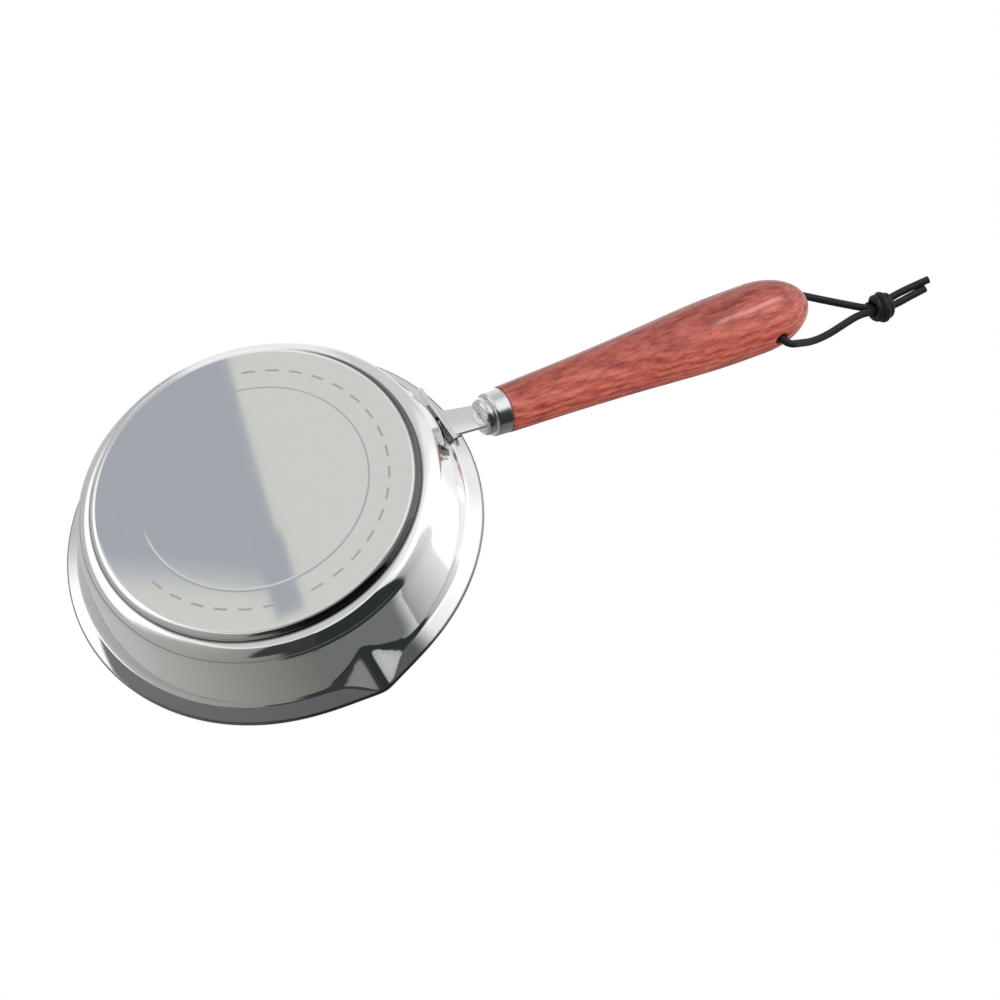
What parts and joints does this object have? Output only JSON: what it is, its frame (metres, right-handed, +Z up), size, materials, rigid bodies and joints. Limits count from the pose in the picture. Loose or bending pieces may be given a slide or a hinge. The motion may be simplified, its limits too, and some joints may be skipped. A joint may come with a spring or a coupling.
{
  "type": "milk pan",
  "caption": "Small shallow steel milk pan with a pouring lip, a thick base, a welded strip and ferrule, a turned wooden grip and a black cord hanging loop.",
  "frame": {"origin": "centre of the base's underside", "axes": "+Z up out of the pan's mouth, +X from the pan's centre towards the handle, pouring lip on the +Y side"},
  "size_m": [0.2979, 0.1323, 0.0918],
  "materials": {
    "pan_steel": "bright polished stainless steel",
    "core_aluminium": "hidden core, bonded inside the base",
    "cap_steel": "fine satin stainless steel",
    "strip_steel": "polished stainless steel strip",
    "weld_steel": "weld beads",
    "ferrule_steel": "turned and polished stainless steel",
    "lacquered_wood": "red-brown stained wood under semi-gloss lacquer",
    "adhesive": "cured epoxy in the grip's bore",
    "black_cord": "black round cord"
  },
  "bodies": {
    "pan": {"pan_shell": "pan_steel", "base_core": "core_aluminium", "base_cap": "cap_steel", "handle_bracket": "strip_steel", "bracket_welds": "weld_steel", "ferrule": "ferrule_steel", "wooden_grip": "lacquered_wood", "tang_adhesive": "adhesive"},
    "lanyard": {"lanyard_loop": "black_cord", "lanyard_knot": "black_cord", "lanyard_tails": "black_cord"}
  },
  "joints": [
    {"name": "lanyard_swing", "type": "hinge", "parent": "pan", "child": "lanyard", "pos_m": [0.17414, 0, 0.06574], "axis": [0, 1, 0], "range_deg": [-110, 120]}
  ]
}
